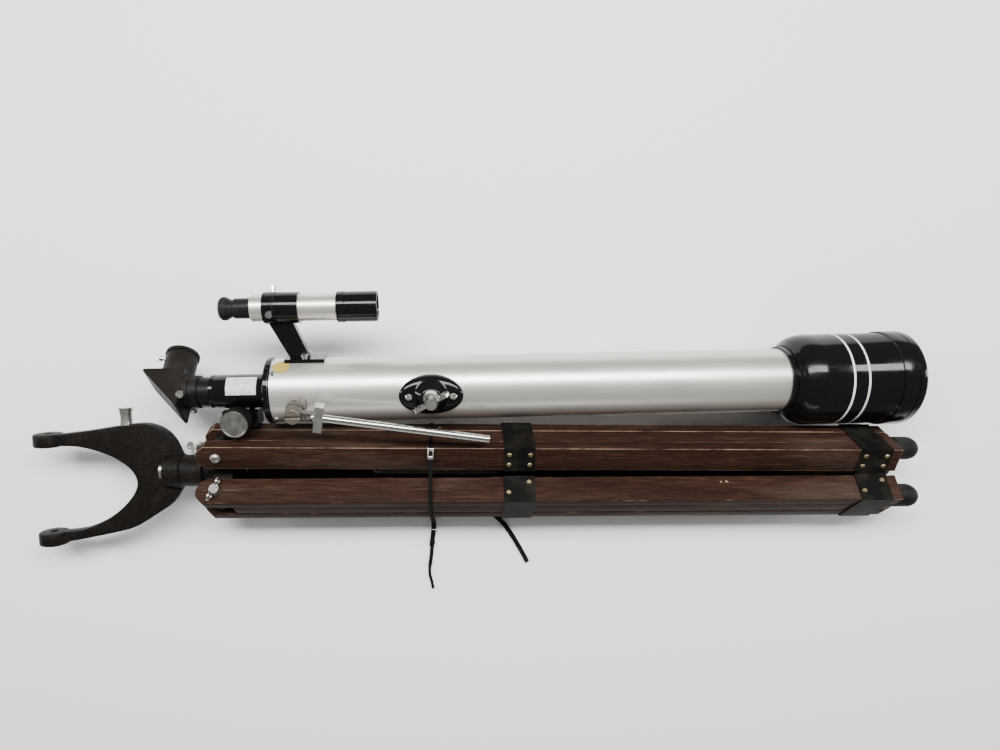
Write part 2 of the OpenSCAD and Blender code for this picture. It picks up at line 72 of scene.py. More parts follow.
SET = Matrix.Translation(-ORIGIN * MM)
TRIPOD = SET @ shift(HINGE_X, 0, AXIS_Z) @ turn("Y", TAPER)
SCOPE = (SET @ shift(0, SCOPE_Y, SCOPE_Z)
         @ turn("Z", SCOPE_YAW) @ turn("Y", SCOPE_PITCH) @ turn("X", SCOPE_ROLL))
FINDER = SCOPE @ shift(0, FINDER_Y, 0)
STUD = SCOPE @ shift(STUD_X, 0, 0) @ turn("X", STUD_TURN)
FORK = SET @ shift(0, 0, AXIS_Z) @ turn("X", FORK_TURN)


def leg(k):
    return TRIPOD @ turn("X", LEG_TURN[k]) @ shift(0, 0, HINGE_R) @ turn("Y", TAPER)


# ---- Camera ------------------------------------------------------------------

CAMERA_AT = (0, 81, 700)

camera_data = bpy.data.cameras.new("camera")
camera_data.lens = 23.4
camera_data.sensor_width = 36
camera_data.shift_x = 0.05
camera_data.shift_y = 0.015
camera_data.clip_start = 0.01
camera = bpy.data.objects.new("camera", camera_data)
camera.location = (Vector(CAMERA_AT) - ORIGIN) * MM
bpy.context.scene.collection.objects.link(camera)
bpy.context.scene.camera = camera


# ---- Mesh helpers --------------------------------------------------------------

def make(name, verts, faces, mats, body, smooth=35, bevel=None, face_mats=None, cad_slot=None):
    """A new piece from points in metres in the shared frame, riding on a body."""
    mesh = bpy.data.meshes.new(name)
    mesh.from_pydata([tuple(v) for v in verts], [], faces)
    for m in mats:
        mesh.materials.append(m)
    if face_mats:
        for poly, index in zip(mesh.polygons, face_mats):
            poly.material_index = index
    bm = bmesh.new()
    bm.from_mesh(mesh)
    bmesh.ops.remove_doubles(bm, verts=bm.verts, dist=1e-7)
    bmesh.ops.recalc_face_normals(bm, faces=bm.faces)
    bm.to_mesh(mesh)
    bm.free()
    obj = bpy.data.objects.new(name, mesh)
    bpy.context.scene.collection.objects.link(obj)
    if bevel:
        mod = obj.modifiers.new("edge", "BEVEL")
        mod.width = bevel[0] * MM
        mod.segments = bevel[1]
        mod.limit_method = "ANGLE"
        mod.angle_limit = math.radians(35)
        if len(bevel) > 2:
            mod.material = bevel[2]
        bpy.context.view_layer.update()
        graph = bpy.context.evaluated_depsgraph_get()
        done = bpy.data.meshes.new_from_object(obj.evaluated_get(graph))
        obj.modifiers.clear()
        obj.data = done
        mesh = done
    if smooth is not None:
        for poly in mesh.polygons:
            poly.use_smooth = True
        mesh.set_sharp_from_angle(angle=math.radians(smooth))
    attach(obj, body)
    return obj


def lathe(name, points, place, mats, body, steps=128, ridges=None, slot=0.0, **more):
    """Turned shape about local X from (x, radius) points in millimetres.

    A point may add its material index, and 1 where the ridges (count, depth) apply.
    A slot leaves out that many degrees on the side of local -Y.
    """
    verts, faces, face_mats = [], [], []
    n = len(points)
    rows = steps + 1 if slot else steps
    for i in range(rows):
        a = 2 * math.pi * i / steps
        if slot:
            a = math.radians(slot / 2 - 180 + (360 - slot) * i / steps)
        for p in points:
            r = p[1]
            if ridges and len(p) > 3 and p[3]:
                r += ridges[1] * (0.5 + 0.5 * math.cos(ridges[0] * a)) - ridges[1]
            verts.append(place @ (Vector((p[0], r * math.cos(a), r * math.sin(a))) * MM))
    for i in range(steps):
        j = (i + 1) % rows
        for k in range(n - 1):
            if points[k][1] == 0 and points[k + 1][1] == 0:
                continue
            faces.append((i * n + k, i * n + k + 1, j * n + k + 1, j * n + k))
            face_mats.append(points[k][2] if len(points[k]) > 2 else 0)
    return make(name, verts, faces, mats, body, face_mats=face_mats, **more)


def prism(name, outline, low, high, place, mats, body, plane="XZ", **more):
    """Straight solid from a closed outline in millimetres."""
    def spot(p, h):
        if plane == "XZ":
            return Vector((p[0], h, p[1]))
        if plane == "YZ":
            return Vector((h, p[0], p[1]))
        return Vector((p[0], p[1], h))
    n = len(outline)
    verts = [place @ (spot(p, h) * MM) for h in (low, high) for p in outline]
    faces = [tuple(range(n)), tuple(range(2 * n - 1, n - 1, -1))]
    faces += [(i, (i + 1) % n, n + (i + 1) % n, n + i) for i in range(n)]
    return make(name, verts, faces, mats, body, **more)


def catmull(points, steps):
    """Smooth curve through the points, with that many steps between two of them."""
    out = []
    n = len(points)
    for i in range(n - 1):
        p0, p1 = Vector(points[max(i - 1, 0)]), Vector(points[i])
        p2, p3 = Vector(points[i + 1]), Vector(points[min(i + 2, n - 1)])
        for s in range(steps):
            t = s / steps
            out.append(0.5 * (2 * p1 + (p2 - p0) * t + (2 * p0 - 5 * p1 + 4 * p2 - p3) * t * t
                              + (3 * p1 - p0 - 3 * p2 + p3) * t * t * t))
    out.append(Vector(points[-1]))
    return out


# ---- Materials -----------------------------------------------------------------

class Mat:
    """Small helper around one node material."""

    def __init__(self, name, color=(0.5, 0.5, 0.5), rough=0.5, metal=0.0,
                 coat=0.0, coat_rough=0.1, spec=0.5, ior=1.5):
        self.mat = bpy.data.materials.new(name)
        self.mat.use_nodes = True
        self.nodes = self.mat.node_tree.nodes
        self.links = self.mat.node_tree.links
        self.bsdf = self.nodes["Principled BSDF"]
        self.set("Base Color", (*color, 1))
        self.set("Roughness", rough)
        self.set("Metallic", metal)
        self.set("Coat Weight", coat)
        self.set("Coat Roughness", coat_rough)
        self.set("Specular IOR Level", spec)
        self.set("IOR", ior)
        self.coord = self.nodes.new("ShaderNodeTexCoord").outputs["Object"]
        self.height = None

    def set(self, name, value):
        self.bsdf.inputs[name].default_value = value

    def texture(self, kind, scale, stretch):
        mapping = self.nodes.new("ShaderNodeMapping")
        mapping.inputs["Scale"].default_value = stretch
        self.links.new(self.coord, mapping.inputs["Vector"])
        tex = self.nodes.new(kind)
        tex.inputs["Scale"].default_value = scale
        self.links.new(mapping.outputs["Vector"], tex.inputs["Vector"])
        return tex

    def noise(self, scale, stretch=(1, 1, 1), detail=4.0, rough=0.55, distortion=0.0):
        tex = self.texture("ShaderNodeTexNoise", scale, stretch)
        tex.inputs["Detail"].default_value = detail
        tex.inputs["Roughness"].default_value = rough
        tex.inputs["Distortion"].default_value = distortion
        return tex.outputs["Fac"]

    def wave(self, scale, stretch=(1, 1, 1), direction="X", distortion=0.0):
        tex = self.texture("ShaderNodeTexWave", scale, stretch)
        tex.bands_direction = direction
        tex.inputs["Distortion"].default_value = distortion
        return tex.outputs["Fac"]

    def cells(self, scale, stretch=(1, 1, 1), feature="F1"):
        tex = self.texture("ShaderNodeTexVoronoi", scale, stretch)
        tex.feature = feature
        return tex.outputs["Distance"]

    def ramp(self, fac, *stops):
        node = self.nodes.new("ShaderNodeValToRGB")
        ramp = node.color_ramp
        while len(ramp.elements) < len(stops):
            ramp.elements.new(0.5)
        for element, (at, color) in zip(ramp.elements, stops):
            element.position = at
            element.color = (*color, 1) if len(color) == 3 else color
        self.links.new(fac, node.inputs["Fac"])
        return node.outputs["Color"]

    def level(self, fac, low, high, out_low=0.0, out_high=1.0):
        node = self.nodes.new("ShaderNodeMapRange")
        node.inputs["From Min"].default_value = low
        node.inputs["From Max"].default_value = high
        node.inputs["To Min"].default_value = out_low
        node.inputs["To Max"].default_value = out_high
        self.links.new(fac, node.inputs["Value"])
        return node.outputs["Result"]

    def math(self, operation, a, b):
        node = self.nodes.new("ShaderNodeMath")
        node.operation = operation
        for socket, value in zip(node.inputs, (a, b)):
            if isinstance(value, (int, float)):
                socket.default_value = value
            else:
                self.links.new(value, socket)
        return node.outputs["Value"]

    def mix(self, fac, a, b, blend="MIX"):
        node = self.nodes.new("ShaderNodeMix")
        node.data_type = "RGBA"
        node.blend_type = blend
        for socket, value in ((node.inputs[0], fac), (node.inputs[6], a), (node.inputs[7], b)):
            if isinstance(value, (int, float)):
                socket.default_value = value
            elif isinstance(value, tuple):
                socket.default_value = (*value, 1)
            else:
                self.links.new(value, socket)
        return node.outputs[2]

    def color(self, socket):
        self.links.new(socket, self.bsdf.inputs["Base Color"])
        return self

    def rough(self, socket):
        self.links.new(socket, self.bsdf.inputs["Roughness"])
        return self

    def bump(self, socket, distance, strength=1.0):
        node = self.nodes.new("ShaderNodeBump")
        node.inputs["Distance"].default_value = distance * MM
        node.inputs["Strength"].default_value = strength
        self.links.new(socket, node.inputs["Height"])
        if self.height is not None:
            self.links.new(self.height, node.inputs["Normal"])
        self.height = node.outputs["Normal"]
        self.links.new(self.height, self.bsdf.inputs["Normal"])
        return self


def wood_color(m):
    broad = m.noise(1.0, (4, 45, 45), detail=3)
    grain = m.noise(1.0, (38, 560, 560), detail=6, rough=0.68, distortion=0.55)
    fine = m.noise(1.0, (110, 2400, 2400), detail=3)
    base = m.ramp(grain, (0.30, (0.0125, 0.0066, 0.0048)),
                  (0.52, (0.0300, 0.0150, 0.0104)), (0.74, (0.058, 0.0300, 0.0208)))
    base = m.mix(m.level(broad, 0.42, 0.66, 0.0, 0.55), base, (0.012, 0.0056, 0.0042))
    base = m.mix(m.level(fine, 0.58, 0.70, 0.0, 0.7), base, (0.005, 0.0025, 0.002))
    return base, grain, fine


def wood():
    m = Mat("mahogany", rough=0.52, spec=0.5, ior=1.08)
    base, grain, fine = wood_color(m)
    painted_sheen_and_wear = m.noise(1.0, (5, 26, 26), detail=5, rough=0.6)
    # The lighter grey-brown patches mixed in here are painted sheen: the varnish's reflection of the light,
    # put into the colour. The same noise also places the scratches and sets the roughness.
    base = m.mix(m.level(painted_sheen_and_wear, 0.52, 0.78, 0.0, 0.26), base, (0.15, 0.115, 0.095))
    scratch = m.noise(1.0, (14, 900, 900), detail=2)
    spots = m.noise(1.0, (55, 110, 110), detail=4)
    worn = m.math("MULTIPLY", m.level(scratch, 0.66, 0.72), m.level(painted_sheen_and_wear, 0.5, 0.7))
    base = m.mix(m.math("MULTIPLY", worn, 0.55), base, (0.36, 0.25, 0.17))
    base = m.mix(m.level(spots, 0.742, 0.765), base, (0.50, 0.36, 0.24))
    m.color(base)
    m.rough(m.level(painted_sheen_and_wear, 0.35, 0.7, 0.42, 0.62))
    m.bump(fine, 0.12, 0.5)
    m.bump(grain, 0.10, 0.45)
    return m.mat


def edge_wear_and_highlight(name, low, high, amount):
    """Wood lighter on its edges: the stain rubbed through, and in the brighter copy for leg 1 also a painted
    highlight along the ridge.
    """
    m = Mat(name, rough=0.6, spec=0.5, ior=1.08)
    base, grain, fine = wood_color(m)
    wear = m.noise(1.0, (26, 90, 90), detail=6, rough=0.75)
    base = m.mix(m.level(wear, low, high, 0.0, amount), base, (0.30, 0.215, 0.155))
    m.color(base)
    m.bump(wear, 0.15, 0.5)
    return m.mat


def end_grain():
    m = Mat("end_grain", rough=0.7)
    rings = m.noise(1.0, (60, 320, 900), detail=5)
    m.color(m.ramp(rings, (0.3, (0.02, 0.009, 0.007)), (0.7, (0.085, 0.036, 0.022))))
    m.bump(rings, 0.15, 0.6)
    return m.mat


def silver():
    m = Mat("silver_metallic_paint", (0.62, 0.605, 0.59), 0.34, 0.78, coat=0.15, coat_rough=0.12)
    flakes = m.noise(5200, detail=2)
    cloud = m.noise(14, detail=4)
    base = m.mix(m.level(flakes, 0.38, 0.62), (0.61, 0.59, 0.545), (0.76, 0.74, 0.69))
    base = m.mix(m.level(cloud, 0.5, 0.75, 0.0, 0.10), base, (0.50, 0.47, 0.43))
    m.color(base)
    m.rough(m.level(cloud, 0.3, 0.7, 0.31, 0.39))
    m.bump(flakes, 0.02, 0.25)
    return m.mat


def gloss_black(name="gloss_black_enamel", base=(0.0035, 0.0035, 0.004), rough=0.07):
    m = Mat(name, base, rough, 0.0, coat=0.02, coat_rough=0.03, spec=0.4, ior=1.38)
    dust = m.noise(900, detail=3)
    smear = m.noise(24, (1, 3, 3), detail=5)
    m.color(m.mix(m.level(dust, 0.66, 0.74, 0.0, 0.35), base, (0.09, 0.085, 0.08)))
    m.rough(m.level(smear, 0.4, 0.75, rough, rough + 0.16))
    m.bump(m.noise(60, detail=2), 0.05, 0.12)
    return m.mat


def satin_black(name, base, rough=0.38, grain=1400, depth=0.05):
    m = Mat(name, base, rough, spec=0.3, ior=1.28)
    speck = m.noise(grain, detail=4)
    rub = m.noise(40, detail=5)
    light = tuple(min(1, c * 2.2 + 0.004) for c in base)
    m.color(m.mix(m.level(rub, 0.52, 0.75, 0.0, 0.5), base, light))
    m.rough(m.level(rub, 0.3, 0.7, rough - 0.07, rough + 0.12))
    m.bump(speck, depth, 0.5)
    return m.mat


def wrinkle():
    m = Mat("black_wrinkle_paint", (0.006, 0.005, 0.0045), 0.46, spec=0.4, ior=1.2)
    ridges = m.cells(620, feature="SMOOTH_F1")
    lumps = m.noise(1100, detail=3, distortion=0.6)
    dust = m.noise(70, detail=5)
    # Darker in the hollows of the wrinkles and lighter on their crests, following the bump: painted shade.
    base = m.mix(m.level(ridges, 0.15, 0.6), (0.0026, 0.0023, 0.0021), (0.009, 0.0075, 0.0064))
    m.color(m.mix(m.level(dust, 0.55, 0.8, 0.0, 0.3), base, (0.035, 0.026, 0.020)))
    m.bump(ridges, 0.45, 0.75)
    m.bump(lumps, 0.2, 0.5)
    return m.mat


def band_paint():
    m = Mat("charcoal_band", (0.010, 0.0095, 0.008), 0.5, spec=0.5, ior=1.09)
    leather = m.cells(480, feature="SMOOTH_F1")
    rub = m.noise(55, detail=6, rough=0.65)
    base = m.mix(m.level(rub, 0.45, 0.8, 0.0, 0.6), (0.006, 0.0056, 0.005), (0.030, 0.027, 0.022))
    m.color(base)
    m.rough(m.level(rub, 0.3, 0.7, 0.38, 0.58))
    m.bump(leather, 0.14, 0.45)
    m.bump(rub, 0.12, 0.3)
    return m.mat


def plated(name, base=(0.70, 0.69, 0.66), rough=0.16, wear=(0.35, 0.31, 0.26), amount=0.35, patchy=0.22):
    m = Mat(name, base, rough, 1.0)
    cloud = m.noise(160, detail=5)
    fine = m.noise(2600, (1, 1, 1), detail=2)
    m.color(m.mix(m.level(cloud, 0.52, 0.75, 0.0, amount), base, wear))
    m.rough(m.level(cloud, 0.35, 0.75, rough, rough + patchy))
    m.bump(fine, 0.012, 0.12)
    return m.mat


def rubber():
    m = Mat("foot_rubber", (0.006, 0.006, 0.006), 0.62, spec=0.4, ior=1.25)
    dust = m.noise(120, detail=5)
    m.color(m.mix(m.level(dust, 0.5, 0.8, 0.0, 0.6), (0.005, 0.005, 0.005), (0.03, 0.028, 0.025)))
    m.bump(m.noise(1500, detail=3), 0.08, 0.4)
    return m.mat


def strap_cloth():
    m = Mat("strap_webbing", (0.006, 0.006, 0.006), 0.78, ior=1.1)
    along = m.wave(260, direction="DIAGONAL")
    across = m.wave(260, (-1, 1, 1), direction="DIAGONAL")
    weave = m.math("MAXIMUM", along, across)
    # Darker in the low parts of the weave, following the bump: painted shade between the threads.
    m.color(m.mix(weave, (0.002, 0.002, 0.0022), (0.0095, 0.009, 0.0095)))
    m.bump(weave, 0.25, 0.7)
    return m.mat


def lens(name, tint):
    m = Mat(name, tint, 0.03, 0.0, coat=1.0, coat_rough=0.02, spec=0.8)
    m.set("IOR", 1.6)
    m.color(m.mix(m.level(m.noise(18, detail=3), 0.3, 0.7), tint, tuple(c * 0.6 for c in tint)))
    return m.mat


def label(name, base, ink, scale, direction="X"):
    m = Mat(name, base, 0.45)
    lines = m.wave(scale, direction=direction)
    broken = m.noise(260, detail=2)
    both = m.math("MULTIPLY", m.level(lines, 0.55, 0.75), m.level(broken, 0.4, 0.5))
    m.color(m.mix(m.math("MULTIPLY", both, 0.75), base, ink))
    m.bump(m.noise(300), 0.03, 0.3)
    return m.mat


WOOD, END = wood(), end_grain()
EDGE = edge_wear_and_highlight("worn_wood_edge", 0.54, 0.66, 0.55)
# Leg 1's edges get a brighter copy of the same worn edge: partly rubbed-through stain, partly a painted
# highlight along its ridge.
EDGE_WEAR_AND_HIGHLIGHT = edge_wear_and_highlight("wood_edge_wear_and_painted_highlight", 0.36, 0.58, 0.85)
SILVER = silver()
GLOSS = gloss_black()
SATIN = satin_black("satin_black", (0.007, 0.0062, 0.0058))
BROWN_BLACK = satin_black("diagonal_black", (0.0085, 0.0072, 0.0062), 0.46, 1800, 0.07)
PLASTIC = satin_black("black_plastic", (0.010, 0.010, 0.010), 0.34, 900, 0.03)
WRINKLE = wrinkle()
BAND = band_paint()
CHROME = plated("bright_plate")
DULL = plated("dull_nickel", (0.42, 0.41, 0.385), 0.26, (0.22, 0.19, 0.15), 0.6)
BRASS = plated("aged_brass", (0.27, 0.21, 0.12), 0.38, (0.07, 0.052, 0.034), 0.85)
BRONZE = plated("bronze_face", (0.34, 0.31, 0.26), 0.34, (0.18, 0.15, 0.11), 0.6)
POLISHED = plated("polished_rod", (0.56, 0.555, 0.53), 0.17, (0.40, 0.38, 0.34), 0.25, 0.05)
KNURLED = plated("knurled_grey", (0.17, 0.16, 0.145), 0.38, (0.08, 0.07, 0.058), 0.6)
STAY_STEEL = satin_black("stay_paint", (0.21, 0.20, 0.18), 0.5, 900, 0.04)
KNOB_FACE = plated("turned_face", (0.36, 0.36, 0.34), 0.30, (0.30, 0.29, 0.26), 0.5)
GRIP = satin_black("black_grip", (0.0085, 0.0082, 0.0075), 0.4, 1200, 0.05)
RUBBER = rubber()
CLOTH = strap_cloth()
LENS = lens("coated_lens", (0.020, 0.022, 0.040))
GLASS = lens("prism_glass", (0.10, 0.13, 0.14))
WHITE = label("white_ring_paint", (0.80, 0.79, 0.76), (0.62, 0.60, 0.56), 9)
PAPER = label("white_paper_label", (0.74, 0.73, 0.70), (0.16, 0.15, 0.17), 420, "Y")
GOLD = label("gold_sticker", (0.40, 0.31, 0.06), (0.28, 0.21, 0.04), 300, "DIAGONAL")

CAD_LOOK = {
    "foot": RUBBER, "bands": BAND, "band_screws": BRASS, "hinge_bolt": DULL, "wing_nut": DULL,
    "stay": STAY_STEEL, "head_casting": WRINKLE, "clamp_screw": CHROME,
    "azimuth_collar": WRINKLE, "rod_post": CHROME,
    "main_tube": SILVER, "rear_cover": GLOSS, "tube_screws": CHROME, "focuser_body": GLOSS,
    "drawtube": SATIN, "focus_rack": DULL, "focus_pinion": DULL, "diagonal_housing": BROWN_BLACK,
    "diagonal_prism": GLASS, "diagonal_screws": CHROME, "lens_cell": GLOSS, "objective_lens": LENS,
    "dew_shield": GLOSS, "trunnion_plates": GLOSS, "upper_wing_bolt": CHROME,
    "lower_wing_bolt": CHROME, "finder_bracket": GLOSS, "finder_screws": CHROME,
    "finder_tube": SILVER, "finder_eyepiece": PLASTIC, "finder_hood": GLOSS, "finder_lens": LENS,
    "rod_stud": KNURLED, "slow_motion_rod": POLISHED, "rod_clamp": CHROME, "strap_buckle": CHROME,
    "slider": WOOD, "rails": WOOD, "yoke_fork": WRINKLE, "focus_knobs": GRIP,
    "strap_loop": CLOTH, "strap_tail_long": CLOTH, "strap_tail_short": CLOTH,
}
for node_name, node_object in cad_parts.items():
    key = node_name[len("leg_1_"):] if node_name.startswith("leg_") else node_name
    node_object.data.materials.clear()
    node_object.data.materials.append(CAD_LOOK[key])


# ---- Strap tails -----------------------------------------------------------------

TAIL_LONG = [
    (-17.5, -47.0, 39.0), (-17.6, -50.5, 31.0), (-17.4, -54.5, 22.0), (-17.2, -59.5, 12.5),
    (-17.4, -66.0, 5.0), (-18.0, -73.0, 2.2), (-18.8, -80.0, 1.6), (-19.3, -87.0, 1.4),
    (-19.8, -94.0, 1.4), (-20.6, -101.0, 1.4), (-21.6, -108.0, 1.4), (-21.8, -115.0, 1.4),
    (-20.6, -121.0, 1.4), (-19.0, -127.0, 1.4), (-18.0, -132.0, 1.4),
]
TAIL_SHORT = [
    (-14.0, -26.5, 5.0), (-8.0, -28.5, 3.2), (-1.0, -31.0, 2.0), (7.0, -34.0, 1.5),
    (16.0, -37.5, 1.4), (25.0, -41.0, 1.4), (34.0, -45.0, 1.4), (43.0, -50.0, 1.4),
    (51.0, -56.0, 1.4), (58.0, -63.0, 1.4), (64.0, -71.0, 1.4), (69.5, -79.5, 1.4),
    (74.5, -88.0, 1.4), (79.0, -96.0, 1.4), (83.0, -103.5, 1.4),
]


def strap_mesh(name, route, width, thick, twist, widths=None):
    """Flat strap with rounded edges along a route; returns the piece and its centreline."""
    path = catmull(route, 6)
    verts, faces = [], []
    n, m = len(path), 12
    for i, p in enumerate(path):
        d = (path[min(i + 1, n - 1)] - path[max(i - 1, 0)]).normalized()
        side = d.cross(Vector((0, 0, 1)))
        side.normalize()
        up = side.cross(d)
        t = i / (n - 1)
        w = width * (widths(t) if widths else 1)
        a = twist(t)
        across = side * math.cos(a) + up * math.sin(a)
        over = up * math.cos(a) - side * math.sin(a)
        for k in range(m):
            b = 2 * math.pi * (k + 0.5) / m
            c, s = math.cos(b), math.sin(b)
            c = math.copysign(abs(c) ** 0.5, c)
            s = math.copysign(abs(s) ** 0.7, s)
            q = p + across * (w / 2 * c) + over * (thick / 2 * s)
            verts.append(SET @ (q * MM))
    for i in range(n - 1):
        for k in range(m):
            j = (k + 1) % m
            faces.append((i * m + k, i * m + j, (i + 1) * m + j, (i + 1) * m + k))
    faces.append(tuple(range(m - 1, -1, -1)))
    faces.append(tuple((n - 1) * m + k for k in range(m)))
    obj = make(name, verts, faces, [CLOTH], "leg_3", smooth=60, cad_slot="strap_fabric")
    line = [SET @ (p * MM) for p in path]
    length = sum((b - a).length for a, b in zip(line, line[1:]))
    return obj, line, length


def torus(name, centre, normal, big, small, mat, body, steps=(40, 12), slot_name="bright_metal", place=SET):
    """Ring at a point, in millimetres."""
    quat = Vector((0, 0, 1)).rotation_difference(Vector(normal))
    verts, faces = [], []
    a_steps, b_steps = steps
    for i in range(a_steps):
        a = 2 * math.pi * i / a_steps
        for j in range(b_steps):
            b = 2 * math.pi * j / b_steps
            p = Vector(((big + small * math.cos(b)) * math.cos(a), (big + small * math.cos(b)) * math.sin(a),
                        small * math.sin(b)))
            verts.append(place @ ((Vector(centre) + quat @ p) * MM))
    for i in range(a_steps):
        for j in range(b_steps):
            faces.append((i * b_steps + j, ((i + 1) % a_steps) * b_steps + j,
                          ((i + 1) % a_steps) * b_steps + (j + 1) % b_steps, i * b_steps + (j + 1) % b_steps))
    return make(name, verts, faces, [mat], body, smooth=60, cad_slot=slot_name)


def long_width(t):
    return 1.0 if t < 0.5 else 0.78 if t < 0.72 else 0.62


tail_long, line_long, length_long = strap_mesh(
    "strap_tail_long_cloth", TAIL_LONG, 5.0, 1.5, lambda t: 0.35 * math.sin(7 * t) * t, long_width)
tail_short, line_short, length_short = strap_mesh(
    "strap_tail_short_cloth", TAIL_SHORT, 5.0, 1.4, lambda t: 0.3 * math.sin(8 * t) * t)
ring = torus("strap_ring", (-17.6, -68.5, 3.9), (0.1, 1, -0.35), 2.6, 0.7, CHROME, "leg_3")
knot_a = torus("strap_knot_a", (-18.9, -81.5, 3.3), (0.3, 1, 0.1), 2.0, 1.25, CLOTH, "leg_3",
               (28, 10), "strap_fabric")
knot_b = torus("strap_knot_b", (-19.3, -84.6, 3.2), (-0.4, 1, 0.2), 1.8, 1.2, CLOTH, "leg_3",
               (28, 10), "strap_fabric")
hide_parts("strap_tail_long")
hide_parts("strap_tail_short")


# ---- Strap loop and buckle -------------------------------------------------------

STRAP_X = 206.0
LOOP_AT = SET @ shift(HINGE_X + STRAP_X, 0, AXIS_Z - STRAP_X * math.sin(math.radians(TAPER)))


def leg_corner(k, side, out):
    """Outer corner of a leg at the strap, in the plane across the tripod."""
    a = math.radians(LEG_TURN[k])
    r = HINGE_R + LEG_D / 2 - STRAP_X * math.sin(math.radians(TAPER)) + out
    w = side * (LEG_W / 2 + out * 0.6)
    return Vector((-r * math.sin(a) + w * math.cos(a), r * math.cos(a) + w * math.sin(a)))


def loop_outline(out, bend):
    """Closed line round the three legs, with its corners rounded."""
    corners = [leg_corner(k, s, out) for k in (1, 2, 3) for s in (1, -1)]
    points = []
    n = len(corners)
    for i, c in enumerate(corners):
        before = (corners[i - 1] - c).normalized() * bend
        after = (corners[(i + 1) % n] - c).normalized() * bend
        for s in range(5):
            t = s / 4
            points.append((c + before) * (1 - t) ** 2 + c * 2 * t * (1 - t) + (c + after) * t ** 2)
    return points


LOOP_HALF_WIDTH = 1.9
inner, outer = loop_outline(0.1, 0.6), loop_outline(1.0, 1.8)
count = len(inner)
verts, faces = [], []
for x in (-LOOP_HALF_WIDTH, LOOP_HALF_WIDTH):
    for ring_points in (inner, outer):
        verts += [LOOP_AT @ (Vector((x, p.x, p.y)) * MM) for p in ring_points]
for i in range(count):
    j = (i + 1) % count
    faces += [(i, j, count + j, count + i), (2 * count + i, 2 * count + j, 3 * count + j, 3 * count + i),
              (i, j, 2 * count + j, 2 * count + i), (count + i, count + j, 3 * count + j, 3 * count + i)]
loop = make("strap_loop_cloth", verts, faces, [CLOTH], "leg_3", smooth=40, bevel=(0.25, 2),
            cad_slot="strap_fabric")
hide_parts("strap_loop")
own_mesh(loop)

top = leg_corner(1, -1, 0.95).y + 0.85
BUCKLE = LOOP_AT @ shift(0, 20.6, top)
verts, faces = [], []
quad = [(-1, -1), (1, -1), (1, 1), (-1, 1)]
for z in (-0.8, 0.8):
    verts += [BUCKLE @ (Vector((3.0 * a, 5.4 * b, z)) * MM) for a, b in quad]
    verts += [BUCKLE @ (Vector((1.7 * a, 2.2 * b, z)) * MM) for a, b in quad]
for i in range(4):
    j = (i + 1) % 4
    faces += [(i, j, 4 + j, 4 + i), (8 + i, 8 + j, 12 + j, 12 + i), (i, j, 8 + j, 8 + i),
              (4 + i, 4 + j, 12 + j, 12 + i)]
buckle = make("strap_buckle_plate", verts, faces, [CHROME], "leg_3", bevel=(0.45, 3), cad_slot="bright_metal")
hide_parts("strap_buckle")
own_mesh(buckle)


# ---- Wooden legs -----------------------------------------------------------------

STRIP = [(-11, 12.5), (-17, 7.5), (-19, 4.5), (-19.5, 0), (-19, -4), (-17.2, -7.6), (-14, -10.5),
         (-9.5, -12.5), (LEG_LEN, -12.5), (LEG_LEN, 12.5)]
BAR = [(14, -12.2), (LEG_LEN + 1, -12.2), (LEG_LEN + 1, 12.2), (14, 12.2)]
STRIP_GAP = 0.3
END_SLOT = 2
strip_w = (LEG_W - SLIDER_W) / 2 - STRIP_GAP


def end_faces(obj):
    """The ends across the grain get the end-grain material."""
    for poly in obj.data.polygons:
        if abs(poly.normal.x) > 0.9 and poly.material_index == 0:
            poly.material_index = END_SLOT


for k in (1, 2, 3):
    for side, word in ((-1, "a"), (1, "b")):
        inside = side * (LEG_W / 2 - strip_w)
        outside = side * LEG_W / 2
        # Leg 1's bevels take the brighter edge copy, which is partly painted highlight.
        strip = prism(f"leg_{k}_strip_{word}", STRIP, min(inside, outside), max(inside, outside), leg(k),
                      [WOOD, EDGE_WEAR_AND_HIGHLIGHT if k == 1 else EDGE, END], f"leg_{k}", bevel=(0.45, 2, 1),
                      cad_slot="leg_wood")
        end_faces(strip)
        if side == -1:
            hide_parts(f"leg_{k}_rails")
    bar = prism(f"leg_{k}_bar", BAR, -SLIDER_W / 2, SLIDER_W / 2, leg(k), [WOOD, EDGE, END],
                f"leg_{k}_extension", bevel=(0.5, 2, 1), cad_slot="leg_wood")
    end_faces(bar)
    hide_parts(f"leg_{k}_slider")


# Rivets of the folding stays, and the webs inside the wings of the column's screw
for k in (1, 2, 3):
    for x, word in ((150.0, "end"), (220.0, "middle")):
        torus(f"stay_{k}_rivet_{word}", (x, 0, -17.6), (0, 0, 1), 2.9, 0.6, DULL, f"stay_{k}",
              (32, 10), place=leg(k))
CLAMP = TRIPOD @ shift(CLAMP_X, 0, 0) @ turn("X", -90)
WEB_AT, WEB_SIZE = (5.33, 24.9), (3.0, 3.7)
for side, word in ((-1, "a"), (1, "b")):
    oval = [(side * WEB_AT[0] + WEB_SIZE[0] * math.cos(math.radians(a)),
             WEB_AT[1] + WEB_SIZE[1] * math.sin(math.radians(a))) for a in range(0, 360, 12)]
    prism(f"clamp_wing_{word}", oval, -0.55, 0.55, CLAMP, [CHROME], "head", bevel=(0.2, 2),
          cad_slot="bright_metal")


# ---- Fork ------------------------------------------------------------------------

